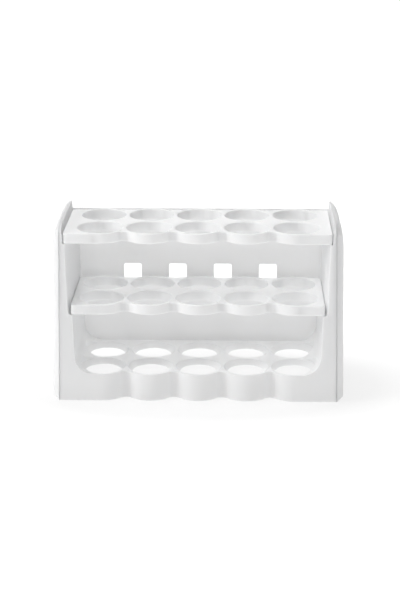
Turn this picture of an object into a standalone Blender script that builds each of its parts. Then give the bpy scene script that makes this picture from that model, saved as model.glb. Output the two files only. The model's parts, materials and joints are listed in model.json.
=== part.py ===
"""Egg holder rack: a moulded frame with ten egg seats, two side covers and two flip-up egg trays.

Metres, +Z up. The rack stands on Z = 0 with its front towards -Y and its middle on X = 0.
"""
import math

import bpy
import bmesh
from mathutils import Matrix, Vector

# Overall size
DEPTH = 0.099
HEIGHT = 0.168
FRONT = -DEPTH / 2
BACK = DEPTH / 2
GAP = 0.0003                     # clearance between neighbouring pieces

# Grid of egg holes
COLUMN_PITCH = 0.045
COLUMNS = [COLUMN_PITCH * step for step in (-2, -1, 0, 1, 2)]
ROWS = [FRONT + 0.024, FRONT + 0.0695]
HOLE_RADIUS = 0.02075
COLLAR_WALL = 0.0016

# Scalloped outline, concentric with the holes
SCALLOP_RADIUS = 0.024
FRONT_VALLEY_RADIUS = 0.007
REAR_VALLEY_RADIUS = 0.0291

# Trays
TRAY_HEIGHT = 0.0094
TRAY_SKIN = 0.002
TRAY_RIM = 0.0018
TRAY_CORNER = 0.003
TOP_TRAY_TOP = 0.1615
TOP_TRAY_HALF = 0.1220
MIDDLE_TRAY_TOP = 0.0938
MIDDLE_TRAY_HALF = 0.1168
TRUNNION_RADIUS = 0.0025
TRUNNION_REACH = 0.0034
PIVOT_Y = FRONT + 0.0885

# Base deck
DECK_TOP = 0.026
DECK_SKIN = 0.002
DECK_UNDERSIDE = 0.021
SEAT_RADIUS = 0.0173             # narrow end of each conical egg seat
TROUGH_HALF = 0.1143             # half-width of the opening just above the rounded ends
TROUGH_RADIUS = 0.018

# Frame walls
WALL = 0.002
PANEL = 0.0022                   # front skirt and flanges
SKIRT_HALF = TROUGH_HALF - TROUGH_RADIUS - GAP
BACK_WALL_FACE = BACK - WALL
BACK_WALL_HEIGHT = 0.1605
WALL_FOOT = DECK_TOP + TROUGH_RADIUS + GAP
LOWER_LEDGE = MIDDLE_TRAY_TOP - TRAY_HEIGHT - GAP
UPPER_LEDGE = TOP_TRAY_TOP - TRAY_HEIGHT - GAP
LOWER_WALL_X = 0.1153            # inner faces of the stepped side wall, from the bottom up
MIDDLE_WALL_X = 0.1173
UPPER_WALL_X = 0.1225
WALL_CROWN_X = 0.1242
FLARE_X = 0.1205                 # the middle wall opens out to this at the front edge
FLARE_DEPTH = 0.008
CROWN_RUN = 0.028                # the side tops dip towards the front over this run
CROWN_DROP = 0.008
REAR_ARCH_HALF = 0.114
WINDOW = 0.0172
WINDOW_BASE = 0.088
WINDOW_PITCH = 0.0439
WINDOW_CORNER = 0.0015

# Side covers: the inner edge and the outer face both lean inwards towards the top
COVER_INNER_X = 0.1297
COVER_INNER_LEAN = 0.0252
COVER_OUTER_X = 0.1366
COVER_OUTER_LEAN = 0.0237
COVER_BEVEL = 0.0147             # run of the bevel along the front and the rear
COVER_CROWN = 0.016              # height of the rounded bevel along the top
COVER_SHELL = 0.002

COVER_REAR_CORNER = 0.005
COVER_INNER_CUT = 0.006          # how far the cover's hollow reaches past its open inner side

# Details of the stepped front edges
STEP_BLEND = 0.003               # height over which a wall's draft meets a ledge
FLARE_EASE = 0.001

# Construction
OVERSHOOT = 0.005                # how far a cutter reaches past the solid it cuts
OVERLAP = 0.001                  # how far joined solids reach into each other
HAIR = 0.00001                   # keeps two faces from lying in one plane
WELD = 0.000002
SEAT_CUT_HEIGHT = 0.03
WEB_EASE = 0.0005
ROUND_SEGMENTS = 32
ROD_SEGMENTS = 20
TROUGH_SEGMENTS = 8
CROWN_SEGMENTS = 8
BULGE_STEPS = 12
REAR_BULGE_STEPS = 8
VALLEY_STEPS = 6
CORNER_STEPS = 4
WINDOW_CORNER_STEPS = 3
SMOOTH_ANGLE = math.radians(35)
WHITE = (0.86, 0.865, 0.87, 1.0)


def clear_scene():
    for item in list(bpy.data.objects):
        bpy.data.objects.remove(item, do_unlink=True)


def plastic(name, roughness):
    material = bpy.data.materials.new(name)
    material.use_nodes = True
    shader = material.node_tree.nodes["Principled BSDF"]
    shader.inputs["Base Color"].default_value = WHITE
    shader.inputs["Roughness"].default_value = roughness
    shader.inputs["Metallic"].default_value = 0.0
    material.diffuse_color = WHITE
    return material


def arc(centre, radius, start, end, segments):
    """Points on an arc, in degrees, from start to end inclusive."""
    points = []
    for step in range(segments + 1):
        angle = math.radians(start + (end - start) * step / segments)
        points.append((centre[0] + radius * math.cos(angle), centre[1] + radius * math.sin(angle)))
    return points


def circle(centre, radius, segments=ROUND_SEGMENTS):
    return arc(centre, radius, 0.0, 360.0, segments)[:-1]


def mirror_points(points):
    """The outline reflected in X = 0, reversed so that it continues from the original."""
    return [(-x, y) for x, y in reversed(points)]


# 2D outlines are drawn as curves and extruded into meshes.

PLANES = {
    "XY": Matrix.Identity(4),
    "XZ": Matrix.Rotation(math.radians(90), 4, "X"),
    "YZ": Matrix(((0, 0, 1, 0), (1, 0, 0, 0), (0, 1, 0, 0), (0, 0, 0, 1))),
}
NORMALS = {"XY": Vector((0, 0, 1)), "XZ": Vector((0, 1, 0)), "YZ": Vector((1, 0, 0))}


def extruded(name, outlines, plane, low, high):
    """A closed mesh object from flat outlines, between two levels along the plane's normal."""
    curve = bpy.data.curves.new(name, "CURVE")
    curve.dimensions = "2D"
    curve.fill_mode = "BOTH"
    curve.extrude = (high - low) / 2
    for outline in outlines:
        spline = curve.splines.new("POLY")
        spline.points.add(len(outline) - 1)
        for point, (u, v) in zip(spline.points, outline):
            point.co = (u, v, 0.0, 1.0)
        spline.use_cyclic_u = True
    source = bpy.data.objects.new(name, curve)
    bpy.context.scene.collection.objects.link(source)
    bpy.context.view_layer.update()
    evaluated = source.evaluated_get(bpy.context.evaluated_depsgraph_get())
    mesh = bpy.data.meshes.new_from_object(evaluated)
    bpy.data.objects.remove(source, do_unlink=True)
    bpy.data.curves.remove(curve)
    mesh.transform(Matrix.Translation(NORMALS[plane] * (low + high) / 2) @ PLANES[plane])
    return closed_object(name, mesh)


def closed_object(name, mesh):
    """Weld the mesh, turn its faces outwards and link it as an object."""
    work = bmesh.new()
    work.from_mesh(mesh)
    bmesh.ops.remove_doubles(work, verts=work.verts, dist=WELD)
    bmesh.ops.recalc_face_normals(work, faces=work.faces)
    work.to_mesh(mesh)
    work.free()
    item = bpy.data.objects.new(name, mesh)
    bpy.context.scene.collection.objects.link(item)
    return item


def combined(name, items):
    """One object holding several separate bodies."""
    work = bmesh.new()
    for item in items:
        work.from_mesh(item.data)
        bpy.data.objects.remove(item, do_unlink=True)
    mesh = bpy.data.meshes.new(name)
    work.to_mesh(mesh)
    work.free()
    item = bpy.data.objects.new(name, mesh)
    bpy.context.scene.collection.objects.link(item)
    return item


def boolean(body, tool, operation):
    """Combine body with tool, bake the result into body and drop the tool."""
    modifier = body.modifiers.new(operation.title(), "BOOLEAN")
    modifier.operation = operation
    modifier.solver = "EXACT"
    modifier.object = tool
    bpy.context.view_layer.update()
    evaluated = body.evaluated_get(bpy.context.evaluated_depsgraph_get())
    mesh = bpy.data.meshes.new_from_object(evaluated)
    body.modifiers.clear()
    body.data = mesh
    bpy.data.objects.remove(tool, do_unlink=True)


def rod(name, radius, start, end):
    """A round bar along X from start to end."""
    work = bmesh.new()
    bmesh.ops.create_cone(work, cap_ends=True, segments=ROD_SEGMENTS, radius1=radius, radius2=radius,
                          depth=abs(end.x - start.x))
    mesh = bpy.data.meshes.new(name)
    work.to_mesh(mesh)
    work.free()
    mesh.transform(Matrix.Translation((start + end) / 2) @ Matrix.Rotation(math.radians(90), 4, "Y"))
    return closed_object(name, mesh)


def finish(item, origin, material, collection):
    """Give a piece its origin, material, smooth shading and collection."""
    item.data.transform(Matrix.Translation(-origin))
    item.location = origin
    item.data.materials.clear()
    item.data.materials.append(material)
    item.data.shade_smooth()
    item.data.set_sharp_from_angle(angle=SMOOTH_ANGLE)
    for old in list(item.users_collection):
        old.objects.unlink(item)
    collection.objects.link(item)
    return item


def mirrored(item, name):
    """The same piece for the other side, reflected in X = 0."""
    mesh = item.data.copy()
    mesh.name = name
    mesh.transform(Matrix.Diagonal((-1, 1, 1, 1)))
    mesh.flip_normals()
    copy = bpy.data.objects.new(name, mesh)
    bpy.context.scene.collection.objects.link(copy)
    return copy


# Scalloped edges

def valley_angle(valley_radius):
    """Half the arc that a bulge and the valley beside it share, in degrees."""
    reach = SCALLOP_RADIUS + valley_radius
    return math.degrees(math.asin(COLUMN_PITCH / 2 / reach))


def valley_offset(valley_radius):
    """Distance from the row of hole centres to the row of valley centres."""
    reach = SCALLOP_RADIUS + valley_radius
    return math.sqrt(reach ** 2 - (COLUMN_PITCH / 2) ** 2)


def front_scallops(inset):
    """The front edge from the middle of the first bulge to the middle of the last one."""
    turn = valley_angle(FRONT_VALLEY_RADIUS)
    valley_y = ROWS[0] - valley_offset(FRONT_VALLEY_RADIUS)
    points = []
    for index, column in enumerate(COLUMNS):
        start = -90.0 if index == 0 else -90.0 - turn
        end = -90.0 if index == len(COLUMNS) - 1 else -90.0 + turn
        steps = BULGE_STEPS // 2 if start == -90.0 or end == -90.0 else BULGE_STEPS
        points += arc((column, ROWS[0]), SCALLOP_RADIUS - inset, start, end, steps)
        if index < len(COLUMNS) - 1:
            centre = (column + COLUMN_PITCH / 2, valley_y)
            points += arc(centre, FRONT_VALLEY_RADIUS + inset, 90.0 + turn, 90.0 - turn, VALLEY_STEPS)[1:-1]
    return points


def rear_scallops(inset):
    """The rear edge from right to left, ending in half a valley outside each end bulge."""
    turn = valley_angle(REAR_VALLEY_RADIUS)
    valley_y = ROWS[1] + valley_offset(REAR_VALLEY_RADIUS)
    radius = REAR_VALLEY_RADIUS + inset
    half = VALLEY_STEPS // 2
    points = arc((COLUMNS[-1] + COLUMN_PITCH / 2, valley_y), radius, -90.0, -90.0 - turn, half)[:-1]
    for index, column in enumerate(reversed(COLUMNS)):
        points += arc((column, ROWS[1]), SCALLOP_RADIUS - inset, 90.0 - turn, 90.0 + turn, REAR_BULGE_STEPS)
        if index < len(COLUMNS) - 1:
            centre = (column - COLUMN_PITCH / 2, valley_y)
            points += arc(centre, radius, -90.0 + turn, -90.0 - turn, VALLEY_STEPS)[1:-1]
    points += arc((COLUMNS[0] - COLUMN_PITCH / 2, valley_y), radius, -90.0 + turn, -90.0, half)[1:]
    return points


def tray_outline(half_width, inset):
    side = half_width - inset
    front = FRONT + inset
    corner = TRAY_CORNER - inset / 2
    rear = ROWS[1] + valley_offset(REAR_VALLEY_RADIUS) - REAR_VALLEY_RADIUS - inset
    right_front = arc((side - corner, front + corner), corner, -90.0, 0.0, CORNER_STEPS)
    right_rear = arc((side - corner, rear - corner), corner, 0.0, 90.0, CORNER_STEPS)
    points = front_scallops(inset) + right_front + right_rear
    points += rear_scallops(inset)
    points += mirror_points(right_rear) + mirror_points(right_front)
    return points


def hole_centres():
    return [(column, row) for row in ROWS for column in COLUMNS]


def tray(name, half_width, top):
    """A perforated plate with a rim, ten collars and a trunnion on each end."""
    bottom = top - TRAY_HEIGHT
    holes = [circle(centre, HOLE_RADIUS) for centre in hole_centres()]
    body = extruded(name, [tray_outline(half_width, 0.0)] + holes, "XY", bottom, top)
    pocket_top = top - TRAY_SKIN
    pocket = extruded("pocket", [tray_outline(half_width, TRAY_RIM)], "XY", bottom - OVERSHOOT, pocket_top)
    collar_radius = HOLE_RADIUS + COLLAR_WALL
    collars = [
        extruded("collar", [circle(centre, collar_radius)], "XY", bottom - 2 * OVERSHOOT, top - TRAY_SKIN / 2)
        for centre in hole_centres()
    ]
    boolean(pocket, combined("collars", collars), "DIFFERENCE")
    boolean(body, pocket, "DIFFERENCE")
    height = (top + bottom) / 2
    for side in (-1, 1):
        start = Vector((side * (half_width - TRAY_RIM / 2), PIVOT_Y, height))
        end = Vector((side * (half_width + TRUNNION_REACH), PIVOT_Y, height))
        boolean(body, rod("trunnion", TRUNNION_RADIUS, start, end), "UNION")
    return body, Vector((0, PIVOT_Y, height))


# Base deck

def trough(half_width, radius, floor, segments=TROUGH_SEGMENTS):
    """The rounded cross-section of the deck from its left top edge to its right one."""
    right = arc((half_width - radius, floor + radius), radius, -90.0, 0.0, segments)
    return mirror_points(right) + right


def deck():
    """A flat-bottomed trough whose ten conical seats hang below its skin."""
    side = TROUGH_HALF + 2 * WALL
    brim = DECK_TOP + TROUGH_RADIUS
    low = DECK_UNDERSIDE
    section = trough(TROUGH_HALF, TROUGH_RADIUS, DECK_TOP)
    section += [(side, brim), (side, low), (-side, low), (-side, brim)]
    body = extruded("frame_deck", [section], "XZ", FRONT - 2 * OVERSHOOT, BACK_WALL_FACE - GAP)

    inset = PANEL + GAP
    reach = side + OVERSHOOT
    plan = front_scallops(inset)
    plan += [(reach, FRONT + inset), (reach, BACK), (-reach, BACK), (-reach, FRONT + inset)]
    boolean(body, extruded("plan", [plan], "XY", low - OVERSHOOT, brim + OVERSHOOT), "INTERSECT")

    skin_radius = TROUGH_RADIUS + DECK_SKIN
    under = trough(TROUGH_HALF + DECK_SKIN, skin_radius, DECK_TOP - DECK_SKIN)
    above = brim + OVERSHOOT
    below = low - OVERSHOOT
    under += [(TROUGH_HALF + DECK_SKIN, above), (reach, above), (reach, below)]
    under += [(-reach, below), (-reach, above), (-TROUGH_HALF - DECK_SKIN, above)]
    hollow = extruded("hollow", [under], "XZ", FRONT - 2 * OVERSHOOT, BACK + 2 * OVERSHOOT)
    collar_radius = HOLE_RADIUS + COLLAR_WALL
    collars = [
        extruded("collar", [circle(centre, collar_radius)], "XY", low - 2 * OVERSHOOT, brim - DECK_SKIN)
        for centre in hole_centres()
    ]
    boolean(hollow, combined("collars", collars), "DIFFERENCE")
    boolean(body, hollow, "DIFFERENCE")
    seats = [seat_cutter(centre) for centre in hole_centres()]
    boolean(body, combined("seats", seats), "DIFFERENCE")
    return body


def seat_cutter(centre):
    """The space of one seat: a cylinder down to the deck, a cone below it and the through hole."""
    mesh = bpy.data.meshes.new("seat")
    low = DECK_UNDERSIDE
    high = low + SEAT_CUT_HEIGHT
    profile = [(0.0, high), (HOLE_RADIUS, high), (HOLE_RADIUS, DECK_TOP)]
    profile += [(SEAT_RADIUS, low), (SEAT_RADIUS, low - OVERSHOOT), (0.0, low - OVERSHOOT)]
    points = [(x, 0.0, z) for x, z in profile]
    mesh.from_pydata(points, [(index, index + 1) for index in range(len(points) - 1)], [])
    source = bpy.data.objects.new("seat", mesh)
    bpy.context.scene.collection.objects.link(source)
    screw = source.modifiers.new("Turn", "SCREW")
    screw.steps = ROUND_SEGMENTS
    screw.render_steps = ROUND_SEGMENTS
    screw.use_merge_vertices = True
    screw.merge_threshold = HAIR
    bpy.context.view_layer.update()
    evaluated = source.evaluated_get(bpy.context.evaluated_depsgraph_get())
    turned = bpy.data.meshes.new_from_object(evaluated)
    bpy.data.objects.remove(source, do_unlink=True)
    turned.transform(Matrix.Translation((centre[0], centre[1], 0.0)))
    return closed_object("seat", turned)


# Frame walls

def front_skirt():
    """The scalloped strip under the front edge of the deck."""
    outer = [(-SKIRT_HALF, FRONT)] + front_scallops(0.0) + [(SKIRT_HALF, FRONT)]
    inner = [(-SKIRT_HALF, FRONT + PANEL)] + front_scallops(PANEL) + [(SKIRT_HALF, FRONT + PANEL)]
    return extruded("frame_front_skirt", [outer + inner[::-1]], "XY", 0.0, DECK_TOP)


def cover_inner_x(height):
    return COVER_INNER_X - COVER_INNER_LEAN * height


def cover_outer_x(height):
    return COVER_OUTER_X - COVER_OUTER_LEAN * height


def back_wall():
    """The rear wall with its row of windows; under the deck it is open between two feet."""
    foot = cover_inner_x(0.0) - GAP
    crown = cover_inner_x(BACK_WALL_HEIGHT) - GAP
    side = [(REAR_ARCH_HALF, DECK_UNDERSIDE), (REAR_ARCH_HALF, 0.0), (foot, 0.0), (crown, BACK_WALL_HEIGHT)]
    outline = side + mirror_points(side)
    windows = []
    for step in (-1.5, -0.5, 0.5, 1.5):
        centre = (step * WINDOW_PITCH, WINDOW_BASE + WINDOW / 2)
        windows.append(rounded_square(centre, WINDOW, WINDOW_CORNER))
    return extruded("frame_back_wall", [outline] + windows, "XZ", BACK_WALL_FACE, BACK)


def rounded_square(centre, size, corner):
    points = []
    offset = size / 2 - corner
    for turn, (across, up) in enumerate(((1, -1), (1, 1), (-1, 1), (-1, -1))):
        start = -90.0 + 90.0 * turn
        middle = (centre[0] + across * offset, centre[1] + up * offset)
        points += arc(middle, corner, start, start + 90.0, WINDOW_CORNER_STEPS)
    return points


def wall_section():
    """Cross-section of the stepped inner wall: up its inner face and down its outer one."""
    inner = [(TROUGH_HALF, WALL_FOOT), (LOWER_WALL_X, LOWER_LEDGE - STEP_BLEND), (LOWER_WALL_X, LOWER_LEDGE)]
    inner += [(MIDDLE_WALL_X, LOWER_LEDGE), (MIDDLE_WALL_X, UPPER_LEDGE), (UPPER_WALL_X, UPPER_LEDGE)]
    inner += [(UPPER_WALL_X, UPPER_LEDGE + STEP_BLEND), (WALL_CROWN_X, HEIGHT)]
    outer = [(cover_inner_x(HEIGHT) - GAP, HEIGHT)]
    outer += [(UPPER_WALL_X + WALL, UPPER_LEDGE + STEP_BLEND), (UPPER_WALL_X + WALL, UPPER_LEDGE - WALL)]
    outer += [(MIDDLE_WALL_X + WALL, UPPER_LEDGE - WALL), (MIDDLE_WALL_X + WALL, LOWER_LEDGE - WALL)]
    outer += [(LOWER_WALL_X + WALL, LOWER_LEDGE - WALL), (TROUGH_HALF + WALL, WALL_FOOT)]
    return inner + outer


def flange_outline():
    """Front panel beside the opening: its foot, the rounded corner, the stepped edge and the outer edge."""
    foot = TROUGH_HALF - TROUGH_RADIUS
    corner = arc((foot, DECK_TOP + TROUGH_RADIUS), TROUGH_RADIUS, -90.0, 0.0, TROUGH_SEGMENTS)
    points = [(foot, 0.0)] + corner
    points += [(LOWER_WALL_X, LOWER_LEDGE - STEP_BLEND), (LOWER_WALL_X, LOWER_LEDGE)]
    points += [(MIDDLE_WALL_X, LOWER_LEDGE), (FLARE_X - FLARE_EASE, LOWER_LEDGE + STEP_BLEND)]
    points += [(FLARE_X, UPPER_LEDGE), (UPPER_WALL_X, UPPER_LEDGE)]
    points += [(UPPER_WALL_X, UPPER_LEDGE + STEP_BLEND), (WALL_CROWN_X, HEIGHT)]
    points += [(cover_inner_x(HEIGHT) - GAP, HEIGHT), (cover_inner_x(0.0) - GAP, 0.0)]
    return points


def crown_cutter():
    """The space above the side top, which dips towards the front in a quarter ellipse."""
    points = [(FRONT - OVERSHOOT, HEIGHT - CROWN_DROP)]
    for step in range(CROWN_SEGMENTS + 1):
        angle = math.radians(90.0 * step / CROWN_SEGMENTS)
        y = FRONT + CROWN_RUN * (1 - math.cos(angle))
        lift = HAIR if step == CROWN_SEGMENTS else 0.0
        points.append((y, HEIGHT - CROWN_DROP * (1 - math.sin(angle)) + lift))
    points += [(FRONT + CROWN_RUN, HEIGHT + OVERSHOOT), (FRONT - OVERSHOOT, HEIGHT + OVERSHOOT)]
    return extruded("crown", [points], "YZ", COLUMNS[-1], COVER_OUTER_X + OVERSHOOT)


def right_wall():
    """Stepped inner wall and front flange in one, with the holes for both trays' trunnions."""
    body = extruded("frame_right_wall", [flange_outline()], "XZ", FRONT, FRONT + PANEL)
    wall = extruded("wall", [wall_section()], "XZ", FRONT + PANEL / 2, BACK_WALL_FACE - GAP)
    boolean(body, wall, "UNION")

    web = [(MIDDLE_WALL_X + WALL / 2, FRONT + PANEL / 2), (FLARE_X + WALL, FRONT + PANEL / 2)]
    web += [(FLARE_X + WALL, FRONT + PANEL + OVERLAP), (MIDDLE_WALL_X + WALL + WEB_EASE, FRONT + FLARE_DEPTH)]
    web += [(MIDDLE_WALL_X + WALL / 2, FRONT + FLARE_DEPTH)]
    boolean(body, extruded("web", [web], "XY", LOWER_LEDGE - OVERLAP, UPPER_LEDGE - OVERLAP), "UNION")

    slope = (FLARE_X - MIDDLE_WALL_X) / FLARE_DEPTH
    before = FRONT - 2 * OVERLAP
    behind = FRONT + FLARE_DEPTH + OVERLAP
    inside = MIDDLE_WALL_X - 2 * OVERSHOOT
    flare = [(inside, before), (FLARE_X + slope * 2 * OVERLAP, before)]
    flare += [(MIDDLE_WALL_X - slope * OVERLAP, behind), (inside, behind)]
    boolean(body, extruded("flare", [flare], "XY", LOWER_LEDGE + HAIR, UPPER_LEDGE), "DIFFERENCE")
    boolean(body, crown_cutter(), "DIFFERENCE")

    for top, face in ((TOP_TRAY_TOP, UPPER_WALL_X), (MIDDLE_TRAY_TOP, MIDDLE_WALL_X)):
        height = top - TRAY_HEIGHT / 2
        start = Vector((face - OVERSHOOT, PIVOT_Y, height))
        end = Vector((face + WALL + OVERSHOOT, PIVOT_Y, height))
        boolean(body, rod("socket", TRUNNION_RADIUS + GAP, start, end), "DIFFERENCE")
    return body


# Side covers

def cover_ring(across, shrink):
    """One closed section of the cover, from its inner edge (across 0) to its outer face (across 1).

    shrink moves the section inwards, for the hollow behind the shell.
    """
    front = FRONT + COVER_BEVEL * across + shrink
    rear = BACK - COVER_BEVEL * across - shrink
    crown = HEIGHT - COVER_CROWN * (1 - math.sqrt(1 - across ** 2)) - shrink
    foot = -OVERSHOOT if shrink else 0.0
    outline = [(front, foot)]
    run = CROWN_RUN - COVER_BEVEL * across / 2
    for step in range(CROWN_SEGMENTS + 1):
        angle = math.radians(90.0 * step / CROWN_SEGMENTS)
        outline.append((front + run * (1 - math.cos(angle)), crown - CROWN_DROP * (1 - math.sin(angle))))
    corner = COVER_REAR_CORNER
    outline += arc((rear - corner, crown - corner), corner, 90.0, 0.0, CORNER_STEPS)
    outline.append((rear, foot))
    ring = []
    for y, z in outline:
        inner = cover_inner_x(z) - (COVER_INNER_CUT if shrink and across == 0 else 0.0)
        outer = cover_outer_x(z) - shrink
        ring.append((inner + (outer - inner) * across, y, z))
    return ring


def lofted(name, rings):
    """A closed solid through rings that have the same number of points."""
    work = bmesh.new()
    loops = [[work.verts.new(point) for point in ring] for ring in rings]
    count = len(loops[0])
    for first, second in zip(loops, loops[1:]):
        for index in range(count):
            following = (index + 1) % count
            work.faces.new((first[index], first[following], second[following], second[index]))
    work.faces.new(loops[0][::-1])
    work.faces.new(loops[-1])
    bmesh.ops.triangulate(work, faces=[face for face in work.faces if len(face.verts) == 4])
    mesh = bpy.data.meshes.new(name)
    work.to_mesh(mesh)
    work.free()
    return closed_object(name, mesh)


def right_cover():
    """A hollow cover with bevelled front, top and rear edges, open towards the wall and the floor."""
    steps = (0.0, 0.35, 0.65, 0.87, 1.0)
    body = lofted("right_side_cover", [cover_ring(across, 0.0) for across in steps])
    boolean(body, lofted("cavity", [cover_ring(across, COVER_SHELL) for across in steps]), "DIFFERENCE")
    return body


def main():
    clear_scene()
    rack = bpy.data.collections.new("egg_holder_rack")
    bpy.context.scene.collection.children.link(rack)
    frame_plastic = plastic("frame_white_plastic", 0.42)
    cover_plastic = plastic("cover_white_plastic", 0.38)
    tray_plastic = plastic("tray_white_plastic", 0.40)

    finish(deck(), Vector((0, 0, DECK_TOP)), frame_plastic, rack)
    finish(front_skirt(), Vector((0, FRONT, 0)), frame_plastic, rack)
    finish(back_wall(), Vector((0, BACK, 0)), frame_plastic, rack)

    wall = right_wall()
    left_wall = mirrored(wall, "frame_left_wall")
    finish(wall, Vector((MIDDLE_WALL_X, 0, 0)), frame_plastic, rack)
    finish(left_wall, Vector((-MIDDLE_WALL_X, 0, 0)), frame_plastic, rack)

    cover = right_cover()
    left_cover = mirrored(cover, "left_side_cover")
    finish(cover, Vector((COVER_OUTER_X, 0, 0)), cover_plastic, rack)
    finish(left_cover, Vector((-COVER_OUTER_X, 0, 0)), cover_plastic, rack)

    for name, half_width, top in (
        ("middle_tray", MIDDLE_TRAY_HALF, MIDDLE_TRAY_TOP),
        ("top_tray", TOP_TRAY_HALF, TOP_TRAY_TOP),
    ):
        body, pivot = tray(name, half_width, top)
        finish(body, pivot, tray_plastic, rack)


main()
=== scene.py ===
"""Looks of the egg holder rack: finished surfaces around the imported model, in its frame, in metres."""
import json
import math

import bpy
import bmesh
from mathutils import Matrix, Vector


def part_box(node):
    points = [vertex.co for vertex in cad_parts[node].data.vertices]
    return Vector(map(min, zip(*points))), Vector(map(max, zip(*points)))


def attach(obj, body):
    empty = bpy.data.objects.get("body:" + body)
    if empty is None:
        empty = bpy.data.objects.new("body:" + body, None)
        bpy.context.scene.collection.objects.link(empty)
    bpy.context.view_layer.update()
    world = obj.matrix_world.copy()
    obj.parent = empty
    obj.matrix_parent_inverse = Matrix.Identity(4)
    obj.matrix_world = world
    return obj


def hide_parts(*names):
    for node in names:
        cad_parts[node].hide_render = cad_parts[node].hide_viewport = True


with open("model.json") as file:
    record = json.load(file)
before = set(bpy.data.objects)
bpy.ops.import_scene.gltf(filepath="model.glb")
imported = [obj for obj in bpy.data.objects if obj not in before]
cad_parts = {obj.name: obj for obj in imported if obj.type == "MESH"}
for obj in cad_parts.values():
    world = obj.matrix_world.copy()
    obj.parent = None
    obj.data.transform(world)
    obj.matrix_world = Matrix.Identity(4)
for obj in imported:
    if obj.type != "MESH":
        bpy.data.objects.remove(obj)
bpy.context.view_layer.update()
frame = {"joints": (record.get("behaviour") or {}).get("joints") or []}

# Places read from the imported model

DECK_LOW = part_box("frame_deck")[0]
SKIRT_LOW, SKIRT_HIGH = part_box("frame_front_skirt")
BACK_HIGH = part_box("frame_back_wall")[1]
COVER_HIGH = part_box("right_side_cover")[1]
TOP_LOW, TOP_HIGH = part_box("top_tray")
MIDDLE_LOW, MIDDLE_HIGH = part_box("middle_tray")
FRONT = SKIRT_LOW.y
BACK = BACK_HIGH.y
HEIGHT = COVER_HIGH.z
DECK_TOP = SKIRT_HIGH.z
DECK_UNDERSIDE = DECK_LOW.z
BACK_WALL_HEIGHT = BACK_HIGH.z
PIVOT_Y = frame["joints"][0]["pos_m"][1]

# Grid of egg holes and the scalloped outline around them

COLUMN_PITCH = 0.045
COLUMNS = [COLUMN_PITCH * step for step in (-2, -1, 0, 1, 2)]
FRONT_ROW_INSET = 0.024
REAR_ROW_INSET = 0.0695
ROWS = [FRONT + FRONT_ROW_INSET, FRONT + REAR_ROW_INSET]
HOLE_RADIUS = 0.02075
COLLAR_WALL = 0.0016
SEAT_RADIUS = 0.0173
SCALLOP_RADIUS = 0.024
FRONT_VALLEY_RADIUS = 0.007
REAR_VALLEY_RADIUS = 0.0291
RIM_ROUNDING = 0.0009

# How finely curves are divided

HOLE_SEGMENTS = 72
ROD_SEGMENTS = 40
FRONT_BULGE_STEPS = 20
REAR_BULGE_STEPS = 16
VALLEY_STEPS = 12
TRAY_CORNER_STEPS = 8
RIM_STEPS = 3
SEAT_RIM_STEPS = 4
MOUTH_STEPS = 4
TROUGH_STEPS = 16
WINDOW_CORNER_STEPS = 6
CROWN_STEPS = 16
COVER_CORNER_STEPS = 10
COVER_SECTION_STEPS = 12

# Small lengths: how far cuts run past the faces they open, or overlap what they join

WELD = 0.000002
HAIR = 0.00001
OVERLAP = 0.001
SHORT_OVERSHOOT = 0.002
OVERSHOOT = 0.005
LONG_OVERSHOOT = 0.01
WIDE_OVERSHOOT = 0.02
CROWN_OVERSHOOT = 0.006
HEADROOM = 0.03
REAR_CUT_DEPTH = 0.008
CUT_REACH = 0.17

# Trays

TRAY_SKIN = 0.002
TRAY_RIM = 0.0018
TRAY_CORNER = 0.003
TRUNNION_RADIUS = 0.0025
TRUNNION_REACH = 0.0034

# Frame

WALL = 0.002
PANEL = 0.0022
TROUGH_HALF = 0.1143
TROUGH_RADIUS = 0.018
LOWER_WALL_X = 0.1153
MIDDLE_WALL_X = 0.1173
UPPER_WALL_X = 0.1225
WALL_CROWN_X = 0.1242
FLARE_X = 0.1205
FLARE_DEPTH = 0.008
FLARE_INSIDE = 0.008             # how far the flare's cutter reaches into the bay
LEDGE_GAP = 0.0003
LEDGE_BLEND = 0.003
LEDGE_FALL = 0.0001              # moulding draft on the ledges
LOWER_LEDGE = MIDDLE_LOW.z - LEDGE_GAP
UPPER_LEDGE = TOP_LOW.z - LEDGE_GAP
FLARE_SECTIONS = (               # height, and share of the full flare
    (UPPER_LEDGE + OVERLAP, 1.0),
    (LOWER_LEDGE + 0.016, 0.75),
    (LOWER_LEDGE + 0.004, 0.68),
    (LOWER_LEDGE + 0.0018, 0.5),
    (LOWER_LEDGE + 0.00002, 0.05),
)
WEB_FRONT = 0.004                # the web behind the flare: its reach past the flare's own edges
WEB_PANEL_EASE = 0.0007
WEB_WALL_EASE = 0.0001
WEB_REAR_EASE = 0.0015
WEB_TOP_DROP = 0.0007
WEB_FOOT_DROP = 0.0009
MOUTH_ROUNDING = 0.0018
MOUTH_ANGLE = math.radians(50)
MOUTH_DEPTH = 0.011
MOUTH_FACING = -0.3
MOUTH_OUTER_X = 0.1249           # beyond this are the flanges' own outer edges
CROWN_RUN = 0.028
CROWN_DROP = 0.008
CROWN_SKIN = 0.002               # thickness of the closed tops of the sides
BAY_CROWN_EASE = 0.0006          # the walls' lean, continued above the top
HOLLOW_CROWN_EASE = 0.0010
HOLLOW_REAR_EASE = 0.0002
SILL_FOOT_EASE = 0.0008
SILL_CROWN_EASE = 0.0004
REAR_ARCH_HALF = 0.114
REAR_ARCH_EASE = 0.0001
REAR_ARCH_DEPTH = 0.003
SEAT_LIFT = 0.00003              # keeps the seat's rim off the deck's own plane
SEAT_LIP = 0.0004
COLLAR_HEIGHT = 0.016
WINDOW = 0.0172
WINDOW_BASE = 0.088
WINDOW_PITCH = 0.0439
WINDOW_CORNER = 0.0018
WINDOW_PLACES = (-1.5, -0.5, 0.5, 1.5)
SOCKET_RADIUS = 0.0028

# Side covers

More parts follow.
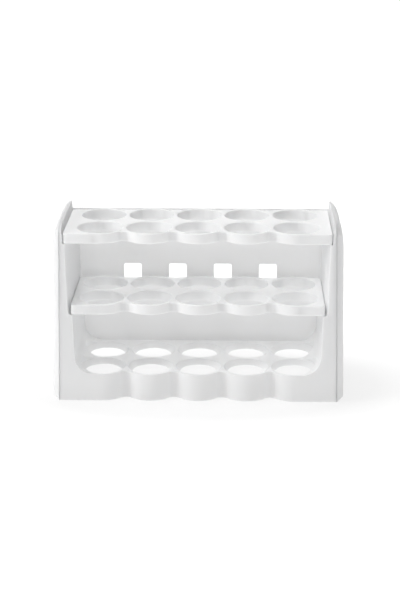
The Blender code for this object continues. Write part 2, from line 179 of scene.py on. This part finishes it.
COVER_INNER_X = 0.1297
COVER_INNER_LEAN = 0.0252
COVER_OUTER_X = 0.1366
COVER_OUTER_LEAN = 0.0237
COVER_BEVEL = 0.0147
COVER_CROWN = 0.016
COVER_SHELL = 0.002
COVER_REAR_CORNER = 0.006
COVER_CAVITY_INSET = 0.006
COVER_EASE_START = 0.9           # from here on the bevel runs in a little further
COVER_EASE = 0.9
COVER_EASE_RUN = 0.1
SEAM = 0.00005

# Plastic

SHARP_ANGLE = math.radians(38)
WHITE = (0.948, 0.95, 0.952)
FRAME_ROUGHNESS = 0.46
COVER_ROUGHNESS = 0.42
TRAY_ROUGHNESS = 0.44
PLASTIC_IOR = 1.49
TRANSLUCENCY = 0.75
TRANSLUCENCY_RADIUS = (1.0, 0.98, 0.95)
TRANSLUCENCY_DEPTH = 0.005
DRIFT_SCALE = 9.0
DRIFT_DETAIL = 3.0
DRIFT_LOW = 0.3
DRIFT_HIGH = 0.7
DRIFT_TONE = 0.985
SHEEN_SCALE = 60.0
SHEEN_DETAIL = 4.0
SHEEN_SMOOTHER = 0.05
SHEEN_ROUGHER = 0.06
GRAIN_SCALE = 900.0
GRAIN_DETAIL = 2.0
GRAIN_STRENGTH = 0.25
GRAIN_DEPTH = 0.00003

# Stage

FLOOR_SIZE = 60.0
FLOOR_LEVEL = -0.0002
FLOOR_TONE = 0.25
FLOOR_ROUGHNESS = 0.9
PAINTED_SHADE_REACH_X = 0.19              # painted shade: the floor glows dimmer in a patch around the rack
PAINTED_SHADE_REACH_Y = 0.10
PAINTED_SHADE_FADE_START = 0.9                 # in multiples of the reach, from the middle outwards
PAINTED_SHADE_FADE_END = 1.8
# Painted shade: the floor's glow near and under the rack, lower than the plain white glow further out
FLOOR_GLOW_IN_PAINTED_SHADE = 0.75
FLOOR_GLOW_FAR = 1.03
WORLD_STRENGTH = 0.21
LIGHT_BOUNCES = 16               # light keeps bouncing inside the white bays
SOFTBOXES = (                    # name, place, target, size in metres, power in watts
    ("left_light", (-1.1, -0.35, 0.55), (0, 0, 0.08), 0.45, 5.0),
    ("right_light", (1.1, -0.6, 0.5), (0, 0, 0.08), 0.7, 0.5),
    ("top_light", (-0.2, 0.1, 1.4), (0, 0, 0.1), 1.0, 11.2),
    ("low_front_light", (-0.1, -1.4, 0.15), (0, 0, 0.08), 0.6, 0.2),
    ("rear_light", (0.2, 1.4, 0.6), (0, 0, 0.08), 1.0, 3.0),
)
CAMERA_PLACE = (0.0385, FRONT - 1.2979, 0.52)
CAMERA_LENS = 89.585
CAMERA_SENSOR = 36.0
CAMERA_PITCH = 17.95             # degrees, like the yaw and the roll
CAMERA_YAW = 1.597
CAMERA_ROLL = -0.118


# Outlines

def arc(centre, radius, start, end, segments):
    """Points on an arc, in degrees, from start to end inclusive."""
    points = []
    for step in range(segments + 1):
        angle = math.radians(start + (end - start) * step / segments)
        points.append((centre[0] + radius * math.cos(angle), centre[1] + radius * math.sin(angle)))
    return points


def circle(centre, radius):
    return arc(centre, radius, 0.0, 360.0, HOLE_SEGMENTS)[:-1]


def mirror_points(points):
    """The outline reflected in X = 0, reversed so that it continues from the original."""
    return [(-x, y) for x, y in reversed(points)]


def hole_centres():
    return [(column, row) for row in ROWS for column in COLUMNS]


def valley_angle(valley_radius):
    """Half the arc that a bulge and the valley beside it share, in degrees."""
    return math.degrees(math.asin(COLUMN_PITCH / 2 / (SCALLOP_RADIUS + valley_radius)))


def valley_offset(valley_radius):
    """Distance from the row of hole centres to the row of valley centres."""
    return math.sqrt((SCALLOP_RADIUS + valley_radius) ** 2 - (COLUMN_PITCH / 2) ** 2)


def front_scallops(inset):
    """The front edge from the middle of the first bulge to the middle of the last one."""
    turn = valley_angle(FRONT_VALLEY_RADIUS)
    valley_y = ROWS[0] - valley_offset(FRONT_VALLEY_RADIUS)
    points = []
    for index, column in enumerate(COLUMNS):
        start = -90.0 if index == 0 else -90.0 - turn
        end = -90.0 if index == len(COLUMNS) - 1 else -90.0 + turn
        steps = FRONT_BULGE_STEPS // 2 if start == -90.0 or end == -90.0 else FRONT_BULGE_STEPS
        points += arc((column, ROWS[0]), SCALLOP_RADIUS - inset, start, end, steps)
        if index < len(COLUMNS) - 1:
            centre = (column + COLUMN_PITCH / 2, valley_y)
            radius = FRONT_VALLEY_RADIUS + inset
            points += arc(centre, radius, 90.0 + turn, 90.0 - turn, VALLEY_STEPS)[1:-1]
    return points


def rear_scallops(inset):
    """The rear edge from right to left, ending in half a valley outside each end bulge."""
    turn = valley_angle(REAR_VALLEY_RADIUS)
    valley_y = ROWS[1] + valley_offset(REAR_VALLEY_RADIUS)
    radius = REAR_VALLEY_RADIUS + inset
    half_steps = VALLEY_STEPS // 2
    points = arc((COLUMNS[-1] + COLUMN_PITCH / 2, valley_y), radius, -90.0, -90.0 - turn, half_steps)[:-1]
    for index, column in enumerate(reversed(COLUMNS)):
        centre = (column, ROWS[1])
        points += arc(centre, SCALLOP_RADIUS - inset, 90.0 - turn, 90.0 + turn, REAR_BULGE_STEPS)
        if index < len(COLUMNS) - 1:
            centre = (column - COLUMN_PITCH / 2, valley_y)
            points += arc(centre, radius, -90.0 + turn, -90.0 - turn, VALLEY_STEPS)[1:-1]
    points += arc((COLUMNS[0] - COLUMN_PITCH / 2, valley_y), radius, -90.0 + turn, -90.0, half_steps)[1:]
    return points


def tray_outline(half_width, inset):
    """A tray's outer edge, scalloped at the front and the rear, moved in by inset."""
    side = half_width - inset
    front = FRONT + inset
    corner = TRAY_CORNER - inset / 2
    rear = ROWS[1] + valley_offset(REAR_VALLEY_RADIUS) - REAR_VALLEY_RADIUS - inset
    right_front = arc((side - corner, front + corner), corner, -90.0, 0.0, TRAY_CORNER_STEPS)
    right_rear = arc((side - corner, rear - corner), corner, 0.0, 90.0, TRAY_CORNER_STEPS)
    points = front_scallops(inset) + right_front + right_rear + rear_scallops(inset)
    return points + mirror_points(right_rear) + mirror_points(right_front)


# Solids from outlines

PLANES = {
    "XY": Matrix.Identity(4),
    "XZ": Matrix.Rotation(math.radians(90), 4, "X"),
    "YZ": Matrix(((0, 0, 1, 0), (1, 0, 0, 0), (0, 1, 0, 0), (0, 0, 0, 1))),
}
NORMALS = {"XY": Vector((0, 0, 1)), "XZ": Vector((0, 1, 0)), "YZ": Vector((1, 0, 0))}


def linked(name, mesh):
    item = bpy.data.objects.new(name, mesh)
    bpy.context.scene.collection.objects.link(item)
    return item


def evaluated_mesh(item):
    bpy.context.view_layer.update()
    return bpy.data.meshes.new_from_object(item.evaluated_get(bpy.context.evaluated_depsgraph_get()))


def closed_object(name, mesh):
    """Weld the mesh, turn its faces outwards and link it as an object."""
    work = bmesh.new()
    work.from_mesh(mesh)
    bmesh.ops.remove_doubles(work, verts=work.verts, dist=WELD)
    bmesh.ops.recalc_face_normals(work, faces=work.faces)
    work.to_mesh(mesh)
    work.free()
    return linked(name, mesh)


def extruded(name, outlines, plane, low, high, rounding=0.0):
    """A closed mesh object from flat outlines, between two levels, with rounded edges if asked."""
    curve = bpy.data.curves.new(name, "CURVE")
    curve.dimensions = "2D"
    curve.fill_mode = "BOTH"
    curve.extrude = (high - low) / 2 - rounding
    if rounding:
        curve.bevel_depth = rounding
        curve.bevel_resolution = RIM_STEPS
        curve.offset = -rounding
    for outline in outlines:
        spline = curve.splines.new("POLY")
        spline.points.add(len(outline) - 1)
        for point, (u, v) in zip(spline.points, outline):
            point.co = (u, v, 0.0, 1.0)
        spline.use_cyclic_u = True
    source = linked(name, curve)
    mesh = evaluated_mesh(source)
    bpy.data.objects.remove(source, do_unlink=True)
    bpy.data.curves.remove(curve)
    mesh.transform(Matrix.Translation(NORMALS[plane] * (low + high) / 2) @ PLANES[plane])
    return closed_object(name, mesh)


def turned(name, profile, centre):
    """A body of revolution about a vertical axis; profile runs from the top of the axis to its foot."""
    mesh = bpy.data.meshes.new(name)
    points = [(x, 0.0, z) for x, z in profile]
    mesh.from_pydata(points, [(index, index + 1) for index in range(len(points) - 1)], [])
    source = linked(name, mesh)
    screw = source.modifiers.new("Turn", "SCREW")
    screw.steps = HOLE_SEGMENTS
    screw.render_steps = HOLE_SEGMENTS
    screw.use_merge_vertices = True
    screw.merge_threshold = HAIR
    result = evaluated_mesh(source)
    bpy.data.objects.remove(source, do_unlink=True)
    result.transform(Matrix.Translation((centre[0], centre[1], 0.0)))
    return closed_object(name, result)


def combined(name, items):
    """One object holding several separate bodies."""
    work = bmesh.new()
    for item in items:
        work.from_mesh(item.data)
        bpy.data.objects.remove(item, do_unlink=True)
    mesh = bpy.data.meshes.new(name)
    work.to_mesh(mesh)
    work.free()
    return linked(name, mesh)


def boolean(body, tool, operation):
    """Combine body with tool, bake the result into body and drop the tool."""
    modifier = body.modifiers.new(operation.title(), "BOOLEAN")
    modifier.operation = operation
    modifier.solver = "EXACT"
    modifier.object = tool
    mesh = evaluated_mesh(body)
    body.modifiers.clear()
    body.data = mesh
    bpy.data.objects.remove(tool, do_unlink=True)


def rod(name, radius, start, end):
    """A round bar along X from start to end."""
    work = bmesh.new()
    bmesh.ops.create_cone(work, cap_ends=True, segments=ROD_SEGMENTS, radius1=radius, radius2=radius,
                          depth=abs(end.x - start.x))
    mesh = bpy.data.meshes.new(name)
    work.to_mesh(mesh)
    work.free()
    mesh.transform(Matrix.Translation((start + end) / 2) @ Matrix.Rotation(math.radians(90), 4, "Y"))
    return closed_object(name, mesh)


def round_edges(body, chosen, width, segments):
    """Round the edges that chosen(edge) picks."""
    work = bmesh.new()
    work.from_mesh(body.data)
    edges = [edge for edge in work.edges if len(edge.link_faces) == 2 and chosen(edge)]
    bmesh.ops.bevel(work, geom=edges, offset=width, offset_type="OFFSET", segments=segments,
                    profile=0.5, affect="EDGES", clamp_overlap=True, miter_outer="SHARP")
    bmesh.ops.remove_doubles(work, verts=work.verts, dist=WELD)
    work.to_mesh(body.data)
    work.free()


def weld_slivers(body):
    """Close up the hair-thin edges that cuts leave behind."""
    work = bmesh.new()
    work.from_mesh(body.data)
    bmesh.ops.dissolve_degenerate(work, dist=WELD, edges=work.edges)
    bmesh.ops.remove_doubles(work, verts=work.verts, dist=WELD)
    work.to_mesh(body.data)
    work.free()


def surfaced(body, material):
    """Smooth shading that keeps the flats flat and the creases crisp."""
    weld_slivers(body)
    body.data.materials.clear()
    body.data.materials.append(material)
    body.data.shade_smooth()
    body.data.set_sharp_from_angle(angle=SHARP_ANGLE)
    weighted = body.modifiers.new("Flat faces stay flat", "WEIGHTED_NORMAL")
    weighted.keep_sharp = True
    weighted.weight = 100
    return body


def mirrored(item, name):
    """The same piece for the other side, reflected in X = 0."""
    mesh = item.data.copy()
    mesh.name = name
    mesh.transform(Matrix.Diagonal((-1, 1, 1, 1)))
    mesh.flip_normals()
    return linked(name, mesh)


# Materials

def moulded_plastic(name, colour, roughness):
    """White injection-moulded plastic: faint tone drift, uneven gloss and a fine moulded grain."""
    material = bpy.data.materials.new(name)
    material.use_nodes = True
    nodes = material.node_tree.nodes
    links = material.node_tree.links
    shader = nodes["Principled BSDF"]
    shader.inputs["IOR"].default_value = PLASTIC_IOR
    shader.inputs["Subsurface Weight"].default_value = TRANSLUCENCY
    shader.inputs["Subsurface Radius"].default_value = TRANSLUCENCY_RADIUS
    shader.inputs["Subsurface Scale"].default_value = TRANSLUCENCY_DEPTH

    place = nodes.new("ShaderNodeTexCoord")
    drift = nodes.new("ShaderNodeTexNoise")
    drift.inputs["Scale"].default_value = DRIFT_SCALE
    drift.inputs["Detail"].default_value = DRIFT_DETAIL
    links.new(place.outputs["Object"], drift.inputs["Vector"])
    tones = nodes.new("ShaderNodeValToRGB")
    tones.color_ramp.elements[0].position = DRIFT_LOW
    tones.color_ramp.elements[0].color = [channel * DRIFT_TONE for channel in colour] + [1.0]
    tones.color_ramp.elements[1].position = DRIFT_HIGH
    tones.color_ramp.elements[1].color = list(colour) + [1.0]
    links.new(drift.outputs["Fac"], tones.inputs["Fac"])
    links.new(tones.outputs["Color"], shader.inputs["Base Color"])

    sheen = nodes.new("ShaderNodeTexNoise")
    sheen.inputs["Scale"].default_value = SHEEN_SCALE
    sheen.inputs["Detail"].default_value = SHEEN_DETAIL
    links.new(place.outputs["Object"], sheen.inputs["Vector"])
    gloss = nodes.new("ShaderNodeMapRange")
    gloss.inputs["To Min"].default_value = roughness - SHEEN_SMOOTHER
    gloss.inputs["To Max"].default_value = roughness + SHEEN_ROUGHER
    links.new(sheen.outputs["Fac"], gloss.inputs["Value"])
    links.new(gloss.outputs["Result"], shader.inputs["Roughness"])

    texture = nodes.new("ShaderNodeTexNoise")
    texture.inputs["Scale"].default_value = GRAIN_SCALE
    texture.inputs["Detail"].default_value = GRAIN_DETAIL
    links.new(place.outputs["Object"], texture.inputs["Vector"])
    bump = nodes.new("ShaderNodeBump")
    bump.inputs["Strength"].default_value = GRAIN_STRENGTH
    bump.inputs["Distance"].default_value = GRAIN_DEPTH
    links.new(texture.outputs["Fac"], bump.inputs["Height"])
    links.new(bump.outputs["Normal"], shader.inputs["Normal"])
    return material


# Trays

def collar_bars(low, high):
    """The ten upright bars that become the collars around the holes."""
    outlines = [circle(centre, HOLE_RADIUS + COLLAR_WALL) for centre in hole_centres()]
    return combined("collars", [extruded("collar", [outline], "XY", low, high) for outline in outlines])


def tray(name, low, high):
    """A perforated plate with rounded rims, ten collars below and a trunnion on each end."""
    half_width = high.x - TRUNNION_REACH
    holes = [circle(centre, HOLE_RADIUS) for centre in hole_centres()]
    outlines = [tray_outline(half_width, 0.0)] + holes
    body = extruded(name, outlines, "XY", low.z, high.z, rounding=RIM_ROUNDING)
    pocket_top = high.z - TRAY_SKIN
    pocket_foot = low.z - OVERSHOOT
    pocket = extruded("pocket", [tray_outline(half_width, TRAY_RIM)], "XY", pocket_foot, pocket_top)
    boolean(pocket, collar_bars(pocket_foot - OVERLAP, pocket_top + OVERLAP), "DIFFERENCE")
    boolean(body, pocket, "DIFFERENCE")
    height = (low.z + high.z) / 2
    for side in (-1, 1):
        start = Vector((side * (half_width - TRAY_RIM / 2), PIVOT_Y, height))
        end = Vector((side * (half_width + TRUNNION_REACH), PIVOT_Y, height))
        boolean(body, rod("trunnion", TRUNNION_RADIUS, start, end), "UNION")
    return body


# Frame

def cover_inner_x(height):
    return COVER_INNER_X - COVER_INNER_LEAN * height


def cover_outer_x(height):
    return COVER_OUTER_X - COVER_OUTER_LEAN * height


def bay_side(offset=0.0):
    """Right half of the opening's outline from the middle of the deck upwards, grown by offset."""
    foot = TROUGH_HALF - TROUGH_RADIUS
    points = arc((foot, DECK_TOP + TROUGH_RADIUS), TROUGH_RADIUS + offset, -90.0, 0.0, TROUGH_STEPS)
    points += [(LOWER_WALL_X + offset, LOWER_LEDGE - LEDGE_BLEND - offset)]
    points += [(LOWER_WALL_X + offset, LOWER_LEDGE - LEDGE_FALL - offset)]
    points += [(MIDDLE_WALL_X + offset, LOWER_LEDGE - offset)]
    points += [(MIDDLE_WALL_X + offset, UPPER_LEDGE - offset)]
    points += [(UPPER_WALL_X + offset, UPPER_LEDGE + LEDGE_FALL - offset)]
    points += [(UPPER_WALL_X + offset, UPPER_LEDGE + LEDGE_BLEND)]
    return points


def frame_block():
    """The frame's outer body with the scalloped front, before it is hollowed."""
    half = COVER_INNER_X + OVERSHOOT
    plan = front_scallops(0.0) + [(half, FRONT), (half, BACK), (-half, BACK), (-half, FRONT)]
    body = extruded("egg_rack_frame", [plan], "XY", 0.0, HEIGHT)
    foot = cover_inner_x(0.0) - SEAM
    top = HEIGHT + OVERSHOOT
    crown = cover_inner_x(top) - SEAM
    lean = [(-foot, -HAIR), (foot, -HAIR), (crown, top), (-crown, top)]
    sides = extruded("lean", [lean], "XZ", FRONT - LONG_OVERSHOOT, BACK + LONG_OVERSHOOT)
    boolean(body, sides, "INTERSECT")
    return body


def bay_cutter():
    """The space for eggs and trays, open to the front and the top."""
    side = bay_side() + [(WALL_CROWN_X, HEIGHT)]
    side += [(WALL_CROWN_X + BAY_CROWN_EASE, HEIGHT + CROWN_OVERSHOOT)]
    return extruded("bay", [side + mirror_points(side)], "XZ", FRONT - WIDE_OVERSHOOT, BACK - WALL)


def flare_cutter(side):
    """Opens the middle wall out towards the front edge; it closes in a curve above the lower ledge."""
    spread = FLARE_X - MIDDLE_WALL_X
    rings = []
    inner = MIDDLE_WALL_X - FLARE_INSIDE
    front = FRONT - SHORT_OVERSHOOT
    rear = FRONT + FLARE_DEPTH + OVERLAP
    for height, share in FLARE_SECTIONS:
        slope = spread * share / FLARE_DEPTH
        tip = MIDDLE_WALL_X + spread * share + slope * SHORT_OVERSHOOT
        ring = [(inner, front), (tip, front), (MIDDLE_WALL_X - slope * OVERLAP, rear), (inner, rear)]
        rings.append([(side * x, y, height) for x, y in ring])
    return lofted("flare", rings)


def hollow_cutter():
    """Everything behind the front panel that isn't the bay's shell or a seat's collar."""
    outside = COVER_INNER_X + WIDE_OVERSHOOT
    top = HEIGHT + CROWN_OVERSHOOT
    foot = -LONG_OVERSHOOT
    side = bay_side(WALL) + [(WALL_CROWN_X + HOLLOW_CROWN_EASE, top)]
    shell = side + [(outside, top), (outside, foot), (-outside, foot), (-outside, top)]
    shell += mirror_points(side)
    rear = BACK - WALL - HOLLOW_REAR_EASE
    body = extruded("hollow", [shell], "XZ", FRONT - WIDE_OVERSHOOT, rear)
    across = outside + LONG_OVERSHOOT
    plan = front_scallops(PANEL) + [(across, FRONT + PANEL), (across, BACK + LONG_OVERSHOOT)]
    plan += [(-across, BACK + LONG_OVERSHOOT), (-across, FRONT + PANEL)]
    limits = extruded("plan", [plan], "XY", -WIDE_OVERSHOOT, HEIGHT + WIDE_OVERSHOOT)
    boolean(body, limits, "INTERSECT")
    boolean(body, collar_bars(DECK_UNDERSIDE, DECK_TOP + COLLAR_HEIGHT), "DIFFERENCE")
    boolean(body, crown_cutter(CROWN_SKIN), "DIFFERENCE")
    for side in (-1, 1):
        boolean(body, flare_web(side), "DIFFERENCE")
    return body


def flare_web(side):
    """The thicker wall behind the flare, so that the flare stays clear of the hollow."""
    outer = FLARE_X + WALL
    inner = MIDDLE_WALL_X - WALL
    front = FRONT - WEB_FRONT
    rear = FRONT + FLARE_DEPTH + WEB_REAR_EASE
    ring = [(inner, front), (outer, front), (outer, FRONT + PANEL + WEB_PANEL_EASE)]
    ring += [(MIDDLE_WALL_X + WALL + WEB_WALL_EASE, rear), (inner, rear)]
    heights = (UPPER_LEDGE - WEB_TOP_DROP, LOWER_LEDGE - WEB_FOOT_DROP)
    return lofted("web", [[(side * x, y, height) for x, y in ring] for height in heights])


def seat_cutter(centre):
    """The space of one seat: straight down to the deck with a rounded rim, conical below, then the hole."""
    across = HOLE_RADIUS + RIM_ROUNDING
    rim_height = DECK_TOP - RIM_ROUNDING + SEAT_LIFT
    rim = arc((across, rim_height), RIM_ROUNDING, 90.0, 180.0, SEAT_RIM_STEPS)
    top = DECK_TOP + HEADROOM
    foot = DECK_UNDERSIDE - SHORT_OVERSHOOT
    profile = [(0.0, top), (across, top)] + rim
    profile += [(SEAT_RADIUS, DECK_UNDERSIDE + SEAT_LIP), (SEAT_RADIUS, foot), (0.0, foot)]
    return turned("seat", profile, centre)


def rounded_square(centre, size, corner):
    points = []
    offset = size / 2 - corner
    for turn, (across, up) in enumerate(((1, -1), (1, 1), (-1, 1), (-1, -1))):
        start = -90.0 + 90.0 * turn
        middle = (centre[0] + across * offset, centre[1] + up * offset)
        points += arc(middle, corner, start, start + 90.0, WINDOW_CORNER_STEPS)
    return points


def window_cutters():
    outlines = []
    for step in WINDOW_PLACES:
        centre = (step * WINDOW_PITCH, WINDOW_BASE + WINDOW / 2)
        outlines.append(rounded_square(centre, WINDOW, WINDOW_CORNER))
    low = BACK - REAR_CUT_DEPTH
    high = BACK + SHORT_OVERSHOOT
    return combined("windows", [extruded("window", [outline], "XZ", low, high) for outline in outlines])


def crown_cutter(depth=0.0):
    """The space above the side tops, which dip towards the front in a quarter ellipse.

    A depth lowers it to bound the hollow under them, all the way to the rear.
    """
    top = HEIGHT - depth
    front = FRONT - OVERSHOOT
    points = [(front, top - CROWN_DROP)]
    for step in range(CROWN_STEPS + 1):
        angle = math.radians(90.0 * step / CROWN_STEPS)
        rise = CROWN_DROP * (1 - math.sin(angle))
        lift = HAIR * (step == CROWN_STEPS)
        points.append((FRONT + CROWN_RUN * (1 - math.cos(angle)), top - rise + lift))
    if depth:
        rear = BACK + OVERSHOOT
        points += [(rear, top), (rear, HEIGHT + HEADROOM), (front, HEIGHT + HEADROOM)]
    else:
        points += [(FRONT + CROWN_RUN, HEIGHT + LONG_OVERSHOOT), (front, HEIGHT + LONG_OVERSHOOT)]
    return extruded("crown", [points], "YZ", -CUT_REACH, CUT_REACH)


def mouth_edge(edge):
    """Edges where the bay meets the front face."""
    first, second = edge.link_faces
    if first.normal.angle(second.normal, 0.0) < MOUTH_ANGLE:
        return False
    deepest = max(vert.co.y for vert in edge.verts)
    highest = max(vert.co.z for vert in edge.verts)
    facing = min(first.normal.y, second.normal.y)
    outer = min(abs(vert.co.x) for vert in edge.verts) > MOUTH_OUTER_X
    at_front = deepest < FRONT + MOUTH_DEPTH and facing < MOUTH_FACING
    return at_front and highest > DECK_TOP - OVERLAP and not outer


def rear_cutter(name, side, depth):
    """Opens the back wall over an outline that is given by its right half."""
    return extruded(name, [side + mirror_points(side)], "XZ", BACK - depth, BACK + LONG_OVERSHOOT)


def rack_frame():
    """The one white moulding: deck, seats, skirt, flanges, inner side walls and back wall."""
    body = frame_block()
    boolean(body, bay_cutter(), "DIFFERENCE")
    for side in (-1, 1):
        boolean(body, flare_cutter(side), "DIFFERENCE")
    round_edges(body, mouth_edge, MOUTH_ROUNDING, MOUTH_STEPS)
    boolean(body, hollow_cutter(), "DIFFERENCE")
    seats = [seat_cutter(centre) for centre in hole_centres()]
    boolean(body, combined("seats", seats), "DIFFERENCE")
    boolean(body, window_cutters(), "DIFFERENCE")
    boolean(body, crown_cutter(), "DIFFERENCE")
    sill = [(UPPER_WALL_X + SILL_FOOT_EASE, BACK_WALL_HEIGHT)]
    sill += [(WALL_CROWN_X + SILL_CROWN_EASE, HEIGHT + LONG_OVERSHOOT)]
    boolean(body, rear_cutter("sill", sill, REAR_CUT_DEPTH), "DIFFERENCE")
    arch = [(REAR_ARCH_HALF, DECK_UNDERSIDE - REAR_ARCH_EASE), (REAR_ARCH_HALF, -LONG_OVERSHOOT)]
    boolean(body, rear_cutter("arch", arch, REAR_ARCH_DEPTH), "DIFFERENCE")
    sockets = []
    for low, high, face in ((TOP_LOW, TOP_HIGH, UPPER_WALL_X), (MIDDLE_LOW, MIDDLE_HIGH, MIDDLE_WALL_X)):
        height = (low.z + high.z) / 2
        for side in (-1, 1):
            start = Vector((side * (face - SHORT_OVERSHOOT), PIVOT_Y, height))
            end = Vector((side * (face + OVERSHOOT), PIVOT_Y, height))
            sockets.append(rod("socket", SOCKET_RADIUS, start, end))
    boolean(body, combined("sockets", sockets), "DIFFERENCE")
    return body


# Side covers

def cover_ring(across, bevel, crown_drop, shrink):
    """One closed section of the cover; across runs from 0 at its inner edge to 1 at its outer face."""
    front = FRONT + bevel + shrink
    rear = BACK - bevel - shrink
    crown = HEIGHT - crown_drop - shrink
    foot = -OVERSHOOT if shrink else 0.0
    run = CROWN_RUN - bevel / 2
    outline = [(front, foot)]
    for step in range(CROWN_STEPS + 1):
        angle = math.radians(90.0 * step / CROWN_STEPS)
        outline.append((front + run * (1 - math.cos(angle)), crown - CROWN_DROP * (1 - math.sin(angle))))
    corner = COVER_REAR_CORNER
    outline += arc((rear - corner, crown - corner), corner, 90.0, 0.0, COVER_CORNER_STEPS)
    outline.append((rear, foot))
    ring = []
    for y, z in outline:
        inner = cover_inner_x(z) - (COVER_CAVITY_INSET if shrink and across == 0 else 0.0)
        outer = cover_outer_x(z) - shrink
        ring.append((inner + (outer - inner) * across, y, z))
    return ring


def cover_sections():
    """Across, bevel run and crown drop of each section, from the inner edge to the outer face."""
    sections = []
    for step in range(COVER_SECTION_STEPS + 1):
        angle = math.radians(90.0 * step / COVER_SECTION_STEPS)
        across = math.sin(angle)
        run = across
        if across >= COVER_EASE_START:
            run = across + COVER_EASE * (across - COVER_EASE_START) ** 2 / COVER_EASE_RUN
        sections.append((across, COVER_BEVEL * run, COVER_CROWN * (1 - math.cos(angle))))
    return sections


def lofted(name, rings):
    """A closed solid through rings that have the same number of points."""
    work = bmesh.new()
    loops = [[work.verts.new(point) for point in ring] for ring in rings]
    count = len(loops[0])
    for first, second in zip(loops, loops[1:]):
        for index in range(count):
            following = (index + 1) % count
            work.faces.new((first[index], first[following], second[following], second[index]))
    work.faces.new(loops[0][::-1])
    work.faces.new(loops[-1])
    mesh = bpy.data.meshes.new(name)
    work.to_mesh(mesh)
    work.free()
    return closed_object(name, mesh)


def side_cover():
    """The right cover: a bevelled shell, hollow towards the frame."""
    sections = cover_sections()
    body = lofted("side_cover", [cover_ring(*section, 0.0) for section in sections])
    cavity = lofted("cavity", [cover_ring(*section, COVER_SHELL) for section in sections])
    boolean(body, cavity, "DIFFERENCE")
    return body


# Stage: floor, light and camera

def stage_floor():
    """A pale sweep that glows, with painted shade: it glows a little less under the rack and runs out to
    plain white around it.
    """
    bpy.ops.mesh.primitive_plane_add(size=FLOOR_SIZE, location=(0, 0, FLOOR_LEVEL))
    floor = bpy.context.object
    floor.name = "studio_floor"
    material = bpy.data.materials.new("studio_floor")
    material.use_nodes = True
    nodes = material.node_tree.nodes
    links = material.node_tree.links
    shader = nodes["Principled BSDF"]
    shader.inputs["Base Color"].default_value = (FLOOR_TONE, FLOOR_TONE, FLOOR_TONE, 1.0)
    shader.inputs["Emission Color"].default_value = (1.0, 1.0, 1.0, 1.0)
    place = nodes.new("ShaderNodeNewGeometry")
    spread = nodes.new("ShaderNodeVectorMath")
    spread.operation = "MULTIPLY"
    spread.inputs[1].default_value = (1 / PAINTED_SHADE_REACH_X, 1 / PAINTED_SHADE_REACH_Y, 0.0)
    distance = nodes.new("ShaderNodeVectorMath")
    distance.operation = "LENGTH"
    # Painted shade: the floor's glow drops in a patch around and under the rack
    floor_glow_with_painted_shade = nodes.new("ShaderNodeMapRange")
    floor_glow_with_painted_shade.inputs["From Min"].default_value = PAINTED_SHADE_FADE_START
    floor_glow_with_painted_shade.inputs["From Max"].default_value = PAINTED_SHADE_FADE_END
    floor_glow_with_painted_shade.inputs["To Min"].default_value = FLOOR_GLOW_IN_PAINTED_SHADE
    floor_glow_with_painted_shade.inputs["To Max"].default_value = FLOOR_GLOW_FAR
    links.new(place.outputs["Position"], spread.inputs[0])
    links.new(spread.outputs["Vector"], distance.inputs[0])
    links.new(distance.outputs["Value"], floor_glow_with_painted_shade.inputs["Value"])
    links.new(floor_glow_with_painted_shade.outputs["Result"], shader.inputs["Emission Strength"])
    shader.inputs["Roughness"].default_value = FLOOR_ROUGHNESS
    shader.inputs["Specular IOR Level"].default_value = 0.0
    floor.data.materials.append(material)


def aimed(item, target):
    item.rotation_euler = (Vector(target) - item.location).to_track_quat("-Z", "Y").to_euler()


def softbox(name, place, target, size, power):
    light = bpy.data.lights.new(name, "AREA")
    light.shape = "SQUARE"
    light.size = size
    light.energy = power
    item = linked(name, light)
    item.location = place
    aimed(item, target)


def studio_light():
    world = bpy.data.worlds.new("studio")
    world.use_nodes = True
    background = world.node_tree.nodes["Background"]
    background.inputs["Color"].default_value = (1.0, 1.0, 1.0, 1.0)
    background.inputs["Strength"].default_value = WORLD_STRENGTH
    bpy.context.scene.world = world
    for name, place, target, size, power in SOFTBOXES:
        softbox(name, place, target, size, power)
    bpy.context.scene.view_settings.view_transform = "Standard"
    bpy.context.scene.cycles.diffuse_bounces = LIGHT_BOUNCES
    bpy.context.scene.cycles.max_bounces = LIGHT_BOUNCES


def view_camera():
    """A long lens slightly right of the middle, looking down at the rack."""
    camera = bpy.data.cameras.new("camera")
    camera.lens = CAMERA_LENS
    camera.sensor_width = CAMERA_SENSOR
    item = linked("camera", camera)
    pitch = math.radians(CAMERA_PITCH)
    yaw = math.radians(CAMERA_YAW)
    roll = math.radians(CAMERA_ROLL)
    forward = Vector((-math.sin(yaw) * math.cos(pitch), math.cos(yaw) * math.cos(pitch), -math.sin(pitch)))
    level = Vector((math.cos(yaw), math.sin(yaw), 0.0))
    upright = level.cross(forward)
    right = level * math.cos(roll) + upright * math.sin(roll)
    up = upright * math.cos(roll) - level * math.sin(roll)
    axes = Matrix((right, up, -forward)).transposed().to_4x4()
    item.matrix_world = Matrix.Translation(CAMERA_PLACE) @ axes
    bpy.context.scene.camera = item


# Assembly

frame_plastic = moulded_plastic("frame_plastic", WHITE, FRAME_ROUGHNESS)
cover_plastic = moulded_plastic("cover_plastic", WHITE, COVER_ROUGHNESS)
tray_plastic = moulded_plastic("tray_plastic", WHITE, TRAY_ROUGHNESS)

rack = surfaced(rack_frame(), frame_plastic)
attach(rack, "frame")
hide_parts("frame_deck", "frame_front_skirt", "frame_back_wall",
            "frame_left_wall", "frame_right_wall")

right_cover = side_cover()
right_cover.name = "cover_right"
left_cover = mirrored(right_cover, "cover_left")
for cover, node in ((right_cover, "right_side_cover"), (left_cover, "left_side_cover")):
    surfaced(cover, cover_plastic)
    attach(cover, "frame")
    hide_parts(node)

for node, low, high in (("middle_tray", MIDDLE_LOW, MIDDLE_HIGH), ("top_tray", TOP_LOW, TOP_HIGH)):
    plate = surfaced(tray(node + "_plate", low, high), tray_plastic)
    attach(plate, node)
    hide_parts(node)

stage_floor()
studio_light()
view_camera()
